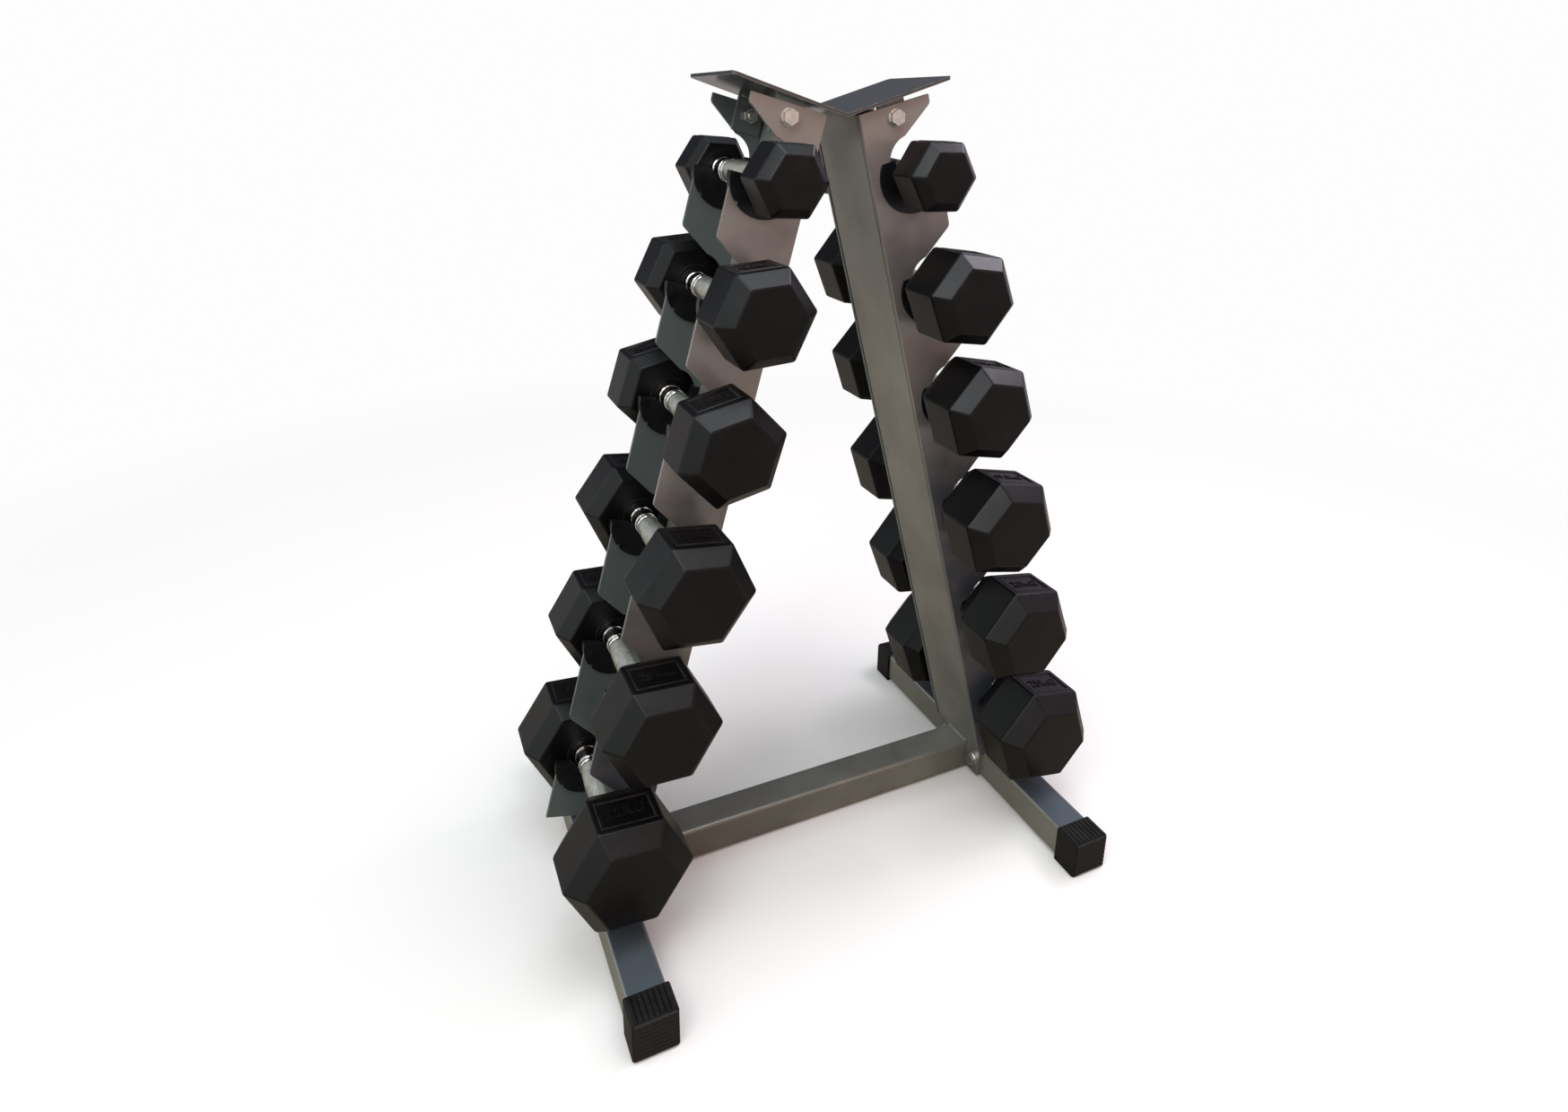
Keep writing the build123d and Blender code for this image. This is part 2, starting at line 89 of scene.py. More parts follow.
class Recipe:
    """A small wrapper for building a Principled material out of nodes."""

    def __init__(self, name):
        self.material = bpy.data.materials.new(name)
        self.material.use_nodes = True
        self.tree = self.material.node_tree
        self.shader = self.tree.nodes["Principled BSDF"]
        self.coords = self.node("ShaderNodeTexCoord")

    def node(self, kind, **settings):
        made = self.tree.nodes.new(kind)
        for key, value in settings.items():
            setattr(made, key, value)
        return made

    def link(self, source, target):
        self.tree.links.new(source, target)

    def stretched(self, scale):
        """Object coordinates scaled along each axis, for a texture that runs one way."""
        mapping = self.node("ShaderNodeMapping")
        mapping.inputs["Scale"].default_value = scale
        self.link(self.coords.outputs["Object"], mapping.inputs["Vector"])
        return mapping.outputs["Vector"]

    def along_z(self, vector):
        """The Z part of a vector output."""
        split = self.node("ShaderNodeSeparateXYZ")
        self.link(vector, split.inputs["Vector"])
        return split.outputs["Z"]

    def noise(self, scale, detail=4.0, roughness=0.55, vector=None):
        """Noise between 0 and 1, with so many features to the metre."""
        made = self.node("ShaderNodeTexNoise")
        made.inputs["Scale"].default_value = scale
        made.inputs["Detail"].default_value = detail
        made.inputs["Roughness"].default_value = roughness
        self.link(vector or self.coords.outputs["Object"], made.inputs["Vector"])
        return made.outputs["Fac"]

    def ramp(self, source, stops):
        """A colour ramp from (position, colour) stops."""
        made = self.node("ShaderNodeValToRGB")
        while len(made.color_ramp.elements) < len(stops):
            made.color_ramp.elements.new(0.5)
        for element, (position, colour) in zip(made.color_ramp.elements, stops):
            element.position = position
            element.color = (*colour, 1.0)
        self.link(source, made.inputs["Fac"])
        return made.outputs["Color"]

    def remap(self, source, low, high, from_low=0.0, from_high=1.0):
        """Takes from_low to from_high onto low to high, and stops at both."""
        made = self.node("ShaderNodeMapRange")
        made.inputs["From Min"].default_value = from_low
        made.inputs["From Max"].default_value = from_high
        made.inputs["To Min"].default_value = low
        made.inputs["To Max"].default_value = high
        self.link(source, made.inputs["Value"])
        return made.outputs["Result"]

    def math(self, operation, a, b):
        made = self.node("ShaderNodeMath", operation=operation)
        for socket, value in zip(made.inputs, (a, b)):
            if isinstance(value, (int, float)):
                socket.default_value = value
            else:
                self.link(value, socket)
        return made.outputs["Value"]

    def mix(self, factor, a, b, blend="MIX"):
        """Mixes two colours, each a tuple or another node's output."""
        made = self.node("ShaderNodeMix", data_type="RGBA", blend_type=blend)
        if isinstance(factor, (int, float)):
            made.inputs["Factor"].default_value = factor
        else:
            self.link(factor, made.inputs["Factor"])
        for socket, value in ((made.inputs["A"], a), (made.inputs["B"], b)):
            if isinstance(value, tuple):
                socket.default_value = (*value, 1.0)
            else:
                self.link(value, socket)
        return made.outputs["Result"]

    def bump(self, height, strength, distance, under=None):
        """A bump normal, laid over another one if given."""
        made = self.node("ShaderNodeBump")
        made.inputs["Strength"].default_value = strength
        made.inputs["Distance"].default_value = distance
        self.link(height, made.inputs["Height"])
        if under is not None:
            self.link(under, made.inputs["Normal"])
        return made.outputs["Normal"]

    def edges(self, radius):
        """1 on the model's edges and 0 on its flats, by how far a rounded normal leans off the real one."""
        rounded = self.node("ShaderNodeBevel", samples=EDGE_SAMPLES)
        rounded.inputs["Radius"].default_value = radius
        lean = self.node("ShaderNodeVectorMath", operation="DOT_PRODUCT")
        self.link(rounded.outputs["Normal"], lean.inputs[0])
        self.link(self.node("ShaderNodeNewGeometry").outputs["Normal"], lean.inputs[1])
        return self.remap(lean.outputs["Value"], 1.0, 0.0, *EDGE_LEAN)

    def set(self, **values):
        """Sets or links the shader's sockets by name."""
        for key, value in values.items():
            socket = self.shader.inputs[key.replace("_", " ")]
            if isinstance(value, (int, float, tuple)):
                socket.default_value = (*value, 1.0) if isinstance(value, tuple) else value
            else:
                self.link(value, socket)


# Materials ------------------------------------------------------------------------------------------
WHITE = (1.0, 1.0, 1.0)
PAINT_METAL = 0.42
PAINT_COAT = 0.3
PAINT_COAT_ROUGHNESS = 0.16
HANDLED = 0.06                   # how much rougher a handled patch of paint is
SATIN = 0.285                    # the denoiser draws outlines where a roughness crosses about 0.27,
GLOSS = 0.20                     # so each range of roughness stays on one side of that


def paint(name, dark, light, rough, peeling, bare_and_edge_light, shade_climb=0.15, top_sky_tint=WHITE):
    """Graphite powder coat: orange peel, clouds with a painted shade that lightens them with height, rubbed
    edges that double as painted edge highlights, and a painted sky tint on the tops.
    """
    r = Recipe(name)
    # Painted shade: the colour clouds darken low down and lighten high up, by height alone.
    height = r.remap(r.along_z(r.coords.outputs["Object"]), -shade_climb, shade_climb)
    cloud_and_height_shade = r.math("ADD", r.noise(8.0, 3.0), height)
    fine = r.noise(1100.0, 2.0)
    colour = r.ramp(cloud_and_height_shade, [(0.30, dark), (0.70, light)])
    fleck = r.ramp(fine, [(0.40, (0.95, 0.95, 0.95)), (0.62, (1.03, 1.03, 1.03))])
    flecked = r.mix(1.0, colour, fleck, "MULTIPLY")
    # Painted reflection: faces turned up are multiplied by a colour that stands in for the cool light from
    # above.
    facing_up = r.along_z(r.node("ShaderNodeNewGeometry").outputs["Normal"])
    painted_sky_light = r.mix(r.remap(facing_up, 0.0, 1.0, 0.6, 0.95), WHITE, top_sky_tint)
    sky_tinted = r.mix(1.0, flecked, painted_sky_light, "MULTIPLY")
    # Rubbed edges: wear, made pale enough on the frame and the top plate to double as painted edge
    # highlights.
    scuffs = r.remap(r.noise(70.0, 4.0), 0.1, 0.6, 0.35, 0.65)
    rubbed_and_edge_lit = r.math("MULTIPLY", r.edges(1.2 * MM), scuffs)
    r.set(Base_Color=r.mix(rubbed_and_edge_lit, sky_tinted, bare_and_edge_light), Metallic=PAINT_METAL)
    handled = r.noise(11.0, 2.0, 0.45)
    r.set(Roughness=r.remap(handled, rough, rough + HANDLED, 0.35, 0.7))
    r.set(Coat_Weight=PAINT_COAT, Coat_Roughness=PAINT_COAT_ROUGHNESS)
    peel = r.noise(380.0, 2.0, 0.5)
    wave = r.noise(9.0, 2.0, 0.4)
    r.set(Normal=r.bump(peel, peeling, 0.3 * MM, r.bump(wave, 0.06, 4.0 * MM)))
    return r.material


def head_rubber():
    """Moulded black rubber: a fine grain over a slow wave, patchy handling dust and greyer edges."""
    r = Recipe("moulded_head_rubber")
    dust = r.noise(24.0, 5.0, 0.65)
    grain = r.noise(1500.0, 2.0)
    colour = r.ramp(dust, [(0.30, (0.0022, 0.0019, 0.0020)), (0.60, (0.0040, 0.0035, 0.0037)),
                           (0.80, (0.0085, 0.0076, 0.0078))])
    scuffs = r.remap(r.noise(90.0, 4.0), 0.05, 0.55, 0.35, 0.65)
    worn = r.math("MULTIPLY", r.edges(3.0 * MM), scuffs)
    r.set(Base_Color=r.mix(worn, colour, (0.030, 0.029, 0.031)),
          Roughness=r.remap(dust, 0.28, 0.36, 0.3, 0.75), Specular_IOR_Level=0.22)
    wave = r.noise(26.0, 2.0)
    r.set(Normal=r.bump(grain, 0.14, 0.3 * MM, r.bump(wave, 0.10, 3.0 * MM)))
    return r.material


def saddle_plastic():
    """Satin black moulded saddles, faintly and unevenly rubbed."""
    r = Recipe("saddle_plastic")
    wear = r.noise(60.0, 5.0, 0.6)
    grain = r.noise(1600.0, 2.0)
    r.set(Base_Color=r.ramp(wear, [(0.35, (0.0030, 0.0030, 0.0040)), (0.75, (0.0080, 0.0080, 0.0100))]),
          Roughness=r.remap(wear, 0.29, 0.36, 0.3, 0.7), Normal=r.bump(grain, 0.10, 0.2 * MM),
          Specular_IOR_Level=0.35)
    return r.material


def cap_plastic():
    """Dull black plastic of the end caps, with patchy floor dust."""
    r = Recipe("end_cap_plastic")
    dust = r.noise(45.0, 6.0, 0.7)
    grain = r.noise(1500.0, 2.0)
    r.set(Base_Color=r.ramp(dust, [(0.35, (0.004, 0.0036, 0.0036)), (0.75, (0.013, 0.0115, 0.0105))]),
          Roughness=r.remap(dust, 0.42, 0.60, 0.3, 0.7), Normal=r.bump(grain, 0.18, 0.3 * MM),
          Specular_IOR_Level=0.22)
    return r.material


def zinc():
    """Bright zinc plate with a faint turned grain."""
    r = Recipe("bright_zinc")
    blotch = r.noise(160.0, 5.0, 0.6)
    turned = r.noise(30.0, 3.0, 0.5, r.stretched((1.0, 24.0, 24.0)))
    r.set(Base_Color=r.ramp(blotch, [(0.3, (0.60, 0.60, 0.57)), (0.7, (0.84, 0.83, 0.79))]), Metallic=1.0,
          Roughness=r.remap(blotch, 0.28, 0.40, 0.3, 0.7), Normal=r.bump(turned, 0.15, 0.3 * MM))
    return r.material


def chrome():
    """Polished chrome with finger smears."""
    r = Recipe("polished_chrome")
    smear = r.noise(55.0, 5.0, 0.6)
    ripple = r.noise(12.0, 2.0)
    r.set(Base_Color=r.ramp(smear, [(0.3, (0.72, 0.72, 0.71)), (0.7, (0.82, 0.82, 0.81))]), Metallic=1.0,
          Roughness=r.remap(smear, 0.06, 0.16, 0.3, 0.75), Normal=r.bump(ripple, 0.05, 2.0 * MM))
    return r.material


def knurl():
    """The grip's satin plating, with greyer patches."""
    r = Recipe("knurled_grip")
    grime = r.noise(140.0, 4.0)
    fine = r.noise(900.0, 3.0)
    r.set(Base_Color=r.ramp(grime, [(0.30, (0.27, 0.26, 0.23)), (0.70, (0.45, 0.43, 0.385))]),
          Metallic=1.0, Roughness=r.remap(fine, 0.30, 0.46, 0.3, 0.7), Normal=r.bump(fine, 0.20, 0.3 * MM))
    return r.material


def weld_bead():
    """Painted weld metal, rougher than the paint beside it."""
    r = Recipe("painted_weld")
    spatter = r.noise(300.0, 4.0)
    r.set(Base_Color=r.ramp(spatter, [(0.3, (0.15, 0.15, 0.14)), (0.75, (0.34, 0.34, 0.32))]),
          Roughness=r.remap(spatter, 0.29, 0.44), Metallic=0.6, Normal=r.bump(spatter, 0.3, 0.5 * MM))
    return r.material


# Frame paint: lighter with height as painted shade; its pale rubbed edges double as painted edge
# highlights.
PAINT = paint("graphite_powder_coat", (0.180, 0.173, 0.152), (0.305, 0.298, 0.266), SATIN, 0.025,
              (0.62, 0.61, 0.57))
# Feet: no height shade, and their tops multiplied by a painted blue sky tint.
FOOT_PAINT_SKY_TINTED = paint("graphite_feet_painted_sky", (0.212, 0.204, 0.176), (0.262, 0.253, 0.222), SATIN, 0.025,
                   (0.42, 0.41, 0.38), 0.0, (0.47, 0.58, 0.76))
# Near hook plates: a painted bluish shade low down, rising to a painted pinkish reflection high up.
PLATE_PAINT_PAINTED_LIGHT = paint("graphite_near_plates_painted_light", (0.078, 0.090, 0.110), (0.302, 0.262, 0.242), SATIN, 0.025,
                    (0.34, 0.31, 0.30), 0.24)
# Far hook plates and lugs: a darker teal copy of the paint, as painted shade and painted reflection.
REAR_PAINT_SHADED = paint("graphite_far_plates_painted_shade", (0.120, 0.142, 0.142), (0.152, 0.178, 0.176), SATIN, 0.025,
                   (0.24, 0.26, 0.26))
# Bent top plate: a much darker glossy copy of the paint as painted shade, with near-white edges as painted
# highlights.
WING_PAINT_SHADED = paint("graphite_gloss_top_painted_shade", (0.055, 0.053, 0.053), (0.076, 0.073, 0.073), GLOSS, 0.008,
                   (0.80, 0.79, 0.76))
MATERIALS = {"graphite_paint": PAINT, "rubber_black": head_rubber(), "saddle_rubber": saddle_plastic(),
             "cap_plastic": cap_plastic(), "zinc": zinc(), "chrome": chrome()}
KNURL = knurl()
WELD = weld_bead()

slot_of = {s["node"]: s["material_slot"] for s in frame["record"]["subparts"]}
for name, obj in nodes.items():
    obj.data.materials.clear()
    obj.data.materials.append(MATERIALS[slot_of[name]])
# These copies of the paint carry painted shade, painted reflection and a painted sky tint.
nodes["top_plate"].data.materials[0] = WING_PAINT_SHADED
nodes["top_lugs"].data.materials[0] = REAR_PAINT_SHADED
for side in ("left", "right"):
    nodes[f"foot_{side}"].data.materials[0] = FOOT_PAINT_SKY_TINTED
    nodes[f"hook_plate_{side}_front"].data.materials[0] = PLATE_PAINT_PAINTED_LIGHT
    nodes[f"hook_plate_{side}_back"].data.materials[0] = REAR_PAINT_SHADED


# Softened edges on the CAD parts --------------------------------------------------------------------
# Millimetres, by how a node's name starts
EDGE_RADIUS = {"foot": 0.5, "cross_tube": 0.5, "flange": 0.7, "post": 0.5, "hook_plate": 0.6,
               "top_plate": 0.6, "top_lugs": 0.5, "end_cap": 0.35, "saddle_liners": 0.7,
               "top_bolts": 0.5, "base_bolts": 0.5, "top_nuts": 0.5, "base_nuts": 0.5,
               "top_washers": 0.3, "base_washers": 0.3}
FACET_GAP = 0.01 * MM            # imported corners closer than this are one
EDGE_STEPS = 2
HARD_EDGE = math.radians(35.0)


def soften(obj, radius):
    """Joins the imported facets and rounds every hard edge by a small radius."""
    weld = obj.modifiers.new("joined", "WELD")
    weld.merge_threshold = FACET_GAP
    rounding = obj.modifiers.new("rounded", "BEVEL")
    rounding.width = radius * MM
    rounding.segments = EDGE_STEPS
    rounding.limit_method = "ANGLE"
    rounding.angle_limit = HARD_EDGE
    rounding.use_clamp_overlap = True
    obj.modifiers.new("even_shading", "WEIGHTED_NORMAL").keep_sharp = True


for name, obj in nodes.items():
    for start, radius in EDGE_RADIUS.items():
        if name.startswith(start):
            soften(obj, radius)


# Mesh helpers ---------------------------------------------------------------------------------------
def piece(name, bm, material, body, replaced=(), sharp=30.0):
    """Turns a bmesh into a piece of the model that rides on a body."""
    bmesh.ops.recalc_face_normals(bm, faces=bm.faces)
    for face in bm.faces:
        face.smooth = True
    for edge in bm.edges:
        edge.smooth = len(edge.link_faces) == 2 and edge.calc_face_angle(0.0) < math.radians(sharp)
    mesh = bpy.data.meshes.new(name)
    bm.to_mesh(mesh)
    bm.free()
    mesh.materials.append(material)
    obj = bpy.data.objects.new(name, mesh)
    bpy.context.scene.collection.objects.link(obj)
    obj.modifiers.new("even_shading", "WEIGHTED_NORMAL").keep_sharp = True
    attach(obj, body)
    if replaced:
        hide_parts(*replaced)
    return obj


def bridge(bm, first, second, closed=True):
    """Faces between two rows of vertices."""
    count = len(first)
    for i in range(count if closed else count - 1):
        j = (i + 1) % count
        bm.faces.new((first[i], first[j], second[j], second[i]))


def lathe(bm, axis, profile, ring=False, steps=64):
    """Turns (place along Y, radius) points about a dumbbell's axis: a closed ring, or a bar with ends."""
    x, z = axis
    rows = []
    for y, radius in profile:
        turn = [2 * math.pi * k / steps for k in range(steps)]
        rows.append([bm.verts.new((x + radius * math.cos(a), y, z + radius * math.sin(a))) for a in turn])
    for first, second in zip(rows, rows[1:]):
        bridge(bm, first, second)
    if ring:
        bridge(bm, rows[-1], rows[0])
    else:
        bm.faces.new(rows[0])
        bm.faces.new(rows[-1])


# Dumbbell heads -------------------------------------------------------------------------------------
WEIGHTS = (5, 12.5, 15, 17.5, 20, 25)      # kilograms, from the top tier down
TURN_STEP = 0.1                            # degrees, in finding how far a head is turned
BEVEL_SHARE = 0.288                        # bevel depth over corner radius, as in the CAD heads
OUTER_FACE_SHARE = 0.71
INNER_FACE_SHARE = 0.80
MOULD_RADIUS = 2.2 * MM                    # rounding of the moulded edges
MOULD_STEPS = 3
SMALL_FLAT = 0.25                          # a face this share of a bevel's size or less is only rounding
FLAT_LEAN = 0.05                           # and one that leans more than this along Y is a bevel or an end
PANEL_MARGIN = 8.5 * MM                    # number panel in from the flat's edges, past the rounding
PANEL_INSETS = ((4.0, 0.0), (0.7, 0.7), (1.6, 0.0), (1.2, -1.6))    # raised border, then a sunken field
NUMBER_ACROSS = 0.80                       # number over the panel's width
NUMBER_ALONG = 0.62                        # number over the panel's length
NUMBER_RISE = 1.5 * MM
NUMBER_SUNK = 1.0 * MM                     # foot of the number below the flat
LETTER_DEPTH = 0.05
COLLAR_CLEAR = 17.2                        # the inner face's boss leaves the handle's collar free
BOSS = ((0.0, 25.0), (-1.4, 24.4), (-1.8, 23.4), (-1.8, 20.0), (-1.0, 18.6), (0.4, COLLAR_CLEAR),
        (2.0, COLLAR_CLEAR), (2.0, 25.0))  # millimetres into the head from its inner face, and radius


def hexagon_of(node):
    """Axis, apothem and direction of one flat, and both ends along Y, measured on a pair of CAD heads."""
    low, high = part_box(node)
    axis = ((low.x + high.x) / 2, (low.z + high.z) / 2)
    corners = np.array([v.co for v in nodes[node].data.vertices], float)
    across = corners[:, (0, 2)] - np.array(axis)
    angles = np.radians(np.arange(0.0, 60.0, TURN_STEP))
    spans = (across @ np.array([np.cos(angles), np.sin(angles)])).max(axis=0)
    best = int(spans.argmin())
    along = np.abs(corners[:, 1])
    return axis, float(spans[best]), float(angles[best]), float(along.min()), float(along.max())


def raised_number(text, width, height, rise):
    """A bmesh of a number, centred on its own origin and standing up along Z."""
    curve = bpy.data.curves.new("number", "FONT")
    curve.body = text
    curve.align_x = "CENTER"
    curve.align_y = "CENTER"
    curve.extrude = LETTER_DEPTH
    curve.resolution_u = 3
    holder = bpy.data.objects.new("number", curve)
    bpy.context.scene.collection.objects.link(holder)
    bpy.context.view_layer.update()
    mesh = bpy.data.meshes.new_from_object(holder.evaluated_get(bpy.context.evaluated_depsgraph_get()))
    bpy.data.objects.remove(holder)
    points = np.array([v.co for v in mesh.vertices], float)
    low, high = points.min(axis=0), points.max(axis=0)
    size = min(width / (high[0] - low[0]), height / (high[1] - low[1]))
    centre = (low + high) / 2
    mesh.transform(Matrix.Diagonal((size, size, rise / (high[2] - low[2]), 1.0))
                   @ Matrix.Translation((-centre[0], -centre[1], -low[2])))
    return mesh


def head(bm, axis, apothem, flat, inner, outer, face, text):
    """One hex head: bevelled ends, moulded edges, a boss, and bordered panels with raised numbers."""
    x, z = axis
    corner_r = apothem / math.cos(math.radians(30.0))
    length = outer - inner
    depth = BEVEL_SHARE * corner_r
    steps = ((0.0, INNER_FACE_SHARE), (depth, 1.0), (length - depth, 1.0), (length, OUTER_FACE_SHARE))
    body = bmesh.new()
    rows = []
    for along, share in steps:
        row = []
        for k in range(6):
            a = flat + math.radians(30.0 + 60.0 * k)
            reach = share * corner_r
            corner = (x + reach * math.cos(a), face * (inner + along), z + reach * math.sin(a))
            row.append(body.verts.new(corner))
        rows.append(row)
    for first, second in zip(rows, rows[1:]):
        bridge(body, first, second)
    body.faces.new(rows[0])
    body.faces.new(rows[-1])
    bmesh.ops.recalc_face_normals(body, faces=body.faces)
    bmesh.ops.bevel(body, geom=list(body.edges), offset=MOULD_RADIUS, offset_type="OFFSET",
                    segments=MOULD_STEPS, profile=0.5, affect="EDGES", clamp_overlap=True)
    body.normal_update()
    smallest = SMALL_FLAT * depth * corner_r
    flats = [f for f in body.faces if abs(f.normal.y) < FLAT_LEAN and f.calc_area() > smallest]
    flats.sort(key=lambda f: -abs(f.normal.z))
    panel_wide = corner_r - 2 * (MOULD_RADIUS + PANEL_MARGIN)
    panel_long = length - 2 * depth - 2 * (MOULD_RADIUS + PANEL_MARGIN)
    labels = []
    for f in flats[:2]:
        normal = f.normal.copy()
        for thickness, shift in PANEL_INSETS:
            bmesh.ops.inset_region(body, faces=[f], thickness=thickness * MM, depth=shift * MM,
                                   use_even_offset=True)
        up = Vector((0.0, -face, 0.0))
        place = Matrix((up.cross(normal), up, normal)).transposed().to_4x4()
        middle = Vector((x, face * (inner + length / 2), z))
        place.translation = middle + normal * (apothem - NUMBER_SUNK)
        mesh = raised_number(text, NUMBER_ACROSS * panel_wide, NUMBER_ALONG * panel_long, NUMBER_RISE)
        mesh.transform(place)
        labels.append(mesh)
    shell = bpy.data.meshes.new("head_shell")
    body.to_mesh(shell)
    body.free()
    for mesh in [shell] + labels:
        bm.from_mesh(mesh)
        bpy.data.meshes.remove(mesh)
    lathe(bm, axis, [(face * (inner + y * MM), radius * MM) for y, radius in BOSS], True)


# Handles --------------------------------------------------------------------------------------------
GRIP_END = 41.0                            # millimetres from the middle, as in both profiles
HANDLE_PROFILE = ((GRIP_END, 14.5), (41.2, 13.0), (42.8, 13.0), (43.1, 14.6), (43.8, 15.2), (45.6, 15.5),
                  (47.4, 15.2), (48.1, 14.6), (48.4, 13.2), (51.0, 13.2), (51.3, 14.4), (52.0, 15.3),
                  (53.0, 15.5), (66.6, 15.5), (67.4, 15.3), (67.9, 14.8), (68.1, 13.7), (69.9, 13.6),
                  (70.1, 15.3), (70.7, 16.1), (71.6, 16.4), (77.2, 16.4), (78.4, 16.0), (79.2, 15.3),
                  (79.4, 12.0), (112.0, 12.0), (112.5, 2.0))
GRIP = ((0.0, 16.5), (12.0, 16.3), (24.0, 15.6), (34.0, 14.9), (GRIP_END, 14.5))
KNURL_COLUMNS = 64
KNURL_ROWS = 80
KNURL_PLAIN = 2                            # rows without knurl at each end
KNURL_DEPTH = 0.35                         # millimetres
KNURL_SHARP = 12.0                         # degrees


def handle(name, axis):
    """One dumbbell's handle: chromed collars and saddle lands, and a diamond-knurled contoured grip."""
    bm = bmesh.new()
    for face in (-1, 1):
        lathe(bm, axis, [(face * y * MM, radius * MM) for y, radius in HANDLE_PROFILE])
    piece(name + "_collars", bm, MATERIALS["chrome"], name, (name + "_handle",))
    bm = bmesh.new()
    x, z = axis
    stations, radii = zip(*GRIP)
    rows = []
    for i in range(KNURL_ROWS + 1):
        y = GRIP_END * (2.0 * i / KNURL_ROWS - 1.0)
        radius = float(np.interp(abs(y), stations, radii))
        row = []
        cut = KNURL_PLAIN <= i <= KNURL_ROWS - KNURL_PLAIN
        for k in range(KNURL_COLUMNS):
            a = 2 * math.pi * k / KNURL_COLUMNS
            reach = (radius - (KNURL_DEPTH if cut and (i + k) % 2 else 0.0)) * MM
            row.append(bm.verts.new((x + reach * math.cos(a), y * MM, z + reach * math.sin(a))))
        rows.append(row)
    for i, (first, second) in enumerate(zip(rows, rows[1:])):
        for k in range(KNURL_COLUMNS):
            n = (k + 1) % KNURL_COLUMNS
            a, b, c, d = first[k], first[n], second[n], second[k]
            if (i + k) % 2:
                bm.faces.new((a, b, d))
                bm.faces.new((b, c, d))
            else:
                bm.faces.new((a, b, c))
                bm.faces.new((a, c, d))
    bm.faces.new(rows[0])
    bm.faces.new(rows[-1])
    piece(name + "_grip", bm, KNURL, name, (), KNURL_SHARP)


for side in ("left", "right"):
    for tier, weight in enumerate(WEIGHTS, 1):
        name = f"dumbbell_{side}_{tier}"
        axis, apothem, flat, inner, outer = hexagon_of(name + "_heads")
        bm = bmesh.new()
        for face in (-1, 1):
            head(bm, axis, apothem, flat, inner, outer, face, f"{weight:g}KG")
        piece(name + "_moulded_heads", bm, MATERIALS["rubber_black"], name,
              (name + "_heads",))
        handle(name, axis)


# Ribbed end caps ------------------------------------------------------------------------------------
CAP_RIBS = 8
CAP_GROOVE = 1.9 * MM
CAP_ROUND = 3.0 * MM
CAP_SHARP = 40.0                           # degrees
SLEEVE = ((0.0, 1.2), (0.8, 0.3), (2.0, 0.0))           # millimetres in from the open end, and inwards
CLOSED_END = ((2.4, 0.0), (0.7, 0.6), (0.0, 2.0))       # and the same back from the closed end
RIB_SAMPLES = 10                           # rows of vertices across one rib
RIB_CROWN = 1.7                            # above 1, it flattens a rib's crown and narrows the grooves
RIB_BED = 0.05 * MM                        # grooves stand this far off the sleeve
RIB_ROOT = 1.0 * MM                        # and each rib goes this far into it
TOP_RIBS_IN = 2.0 * MM                     # on the top, the ribs' rows in from the sides,
TOP_RIBS_FROM = (2.5 * MM, 0.5 * MM)       # their start in from the open end, and its slope,
TOP_RIBS_TO = (0.6 * MM, 0.8 * MM)         # and their finish back from the closed end, and its slope
END_RIBS_IN = (2.2 * MM, 1.0 * MM)         # on the closed end, ribs in from the sides, and their slope,
END_RIBS_UP = 3.0 * MM                     # and their rows up from the cap's underside
END_RIBS_DOWN = 1.0 * MM                   # and down from the top's grooves


def cap_outline(low, high, rounding, steps=5):
    """Points around a rounded rectangle in X and Z, from box corners."""
    points = []
    left, right = low.x + rounding, high.x - rounding
    bottom, top = low.z + rounding, high.z - rounding
    for cx, cz, start in ((right, top, 0), (left, top, 90), (left, bottom, 180), (right, bottom, 270)):
        for i in range(steps + 1):
            a = math.radians(start + 90 * i / steps)
            points.append((cx + rounding * math.cos(a), cz + rounding * math.sin(a)))
    return points


def ridge(share):
    """Height of a rounded rib across its pitch, 0 in the narrow groove and 1 on the crown."""
    return min(1.0, abs(math.sin(math.pi * share)) * RIB_CROWN)


